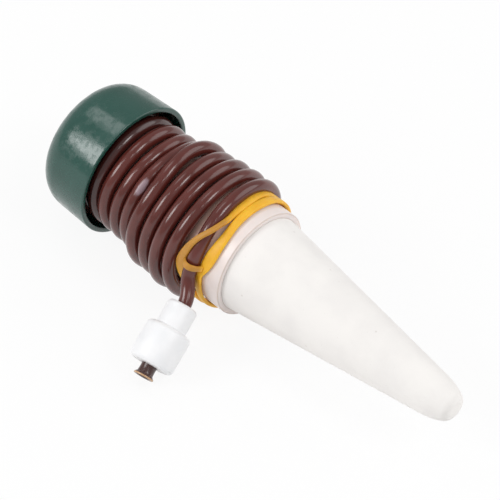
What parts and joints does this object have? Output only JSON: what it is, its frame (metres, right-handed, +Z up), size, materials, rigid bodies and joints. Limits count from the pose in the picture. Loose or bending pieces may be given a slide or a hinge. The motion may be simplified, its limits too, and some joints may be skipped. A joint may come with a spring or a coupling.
{
  "type": "self watering spike",
  "caption": "Porous ceramic cone on a plastic spool with a screw cap, a thin hose wound on the spool and a weight on its free end.",
  "frame": {"origin": "on the plane that the object lies on, under the middle of its length, midway between its sides, measured without the hose and what is on the hose", "axes": "+X along the spike from the cap to the nose of the cone, +Z up, -Y the side where the free end of the hose hangs out"},
  "size_m": [0.14, 0.0627, 0.04],
  "materials": {
    "porous_ceramic": "unglazed, matt, white",
    "adhesive": "cured adhesive",
    "spool_plastic": "translucent, off-white, moulded",
    "nipple_plastic": "moulded",
    "cap_plastic": "glossy, dark green, moulded",
    "seal_rubber": "matt, black",
    "hose_vinyl": "glossy, dark reddish brown",
    "band_rubber": "satin, yellow-orange",
    "weight_ceramic": "smooth, white, glazed",
    "ferrule_plastic": "glossy, brown, translucent at the lip"
  },
  "bodies": {
    "spike": {"cone": "porous_ceramic", "cone_bond": "adhesive", "neck": "spool_plastic", "hose_nipple": "nipple_plastic", "hose_winding": "hose_vinyl", "hose_tail": "hose_vinyl", "rubber_band": "band_rubber", "weight": "weight_ceramic", "ferrule": "ferrule_plastic"},
    "seal": {"cap_seal": "seal_rubber"},
    "cap": {"cap": "cap_plastic"}
  },
  "joints": [
    {"name": "cap_rise", "type": "slide", "parent": "spike", "child": "seal", "axis": [-1, 0, 0], "range_m": [0, 0.0075]},
    {"name": "cap_turn", "type": "hinge", "parent": "seal", "child": "cap", "pos_m": [-0.06495, 0, 0.02], "axis": [-1, 0, 0], "range_deg": [0, 900]}
  ],
  "couplings": [
    {"joint": "cap_rise", "follows": "cap_turn", "m_per_rad": 0.00047746}
  ]
}
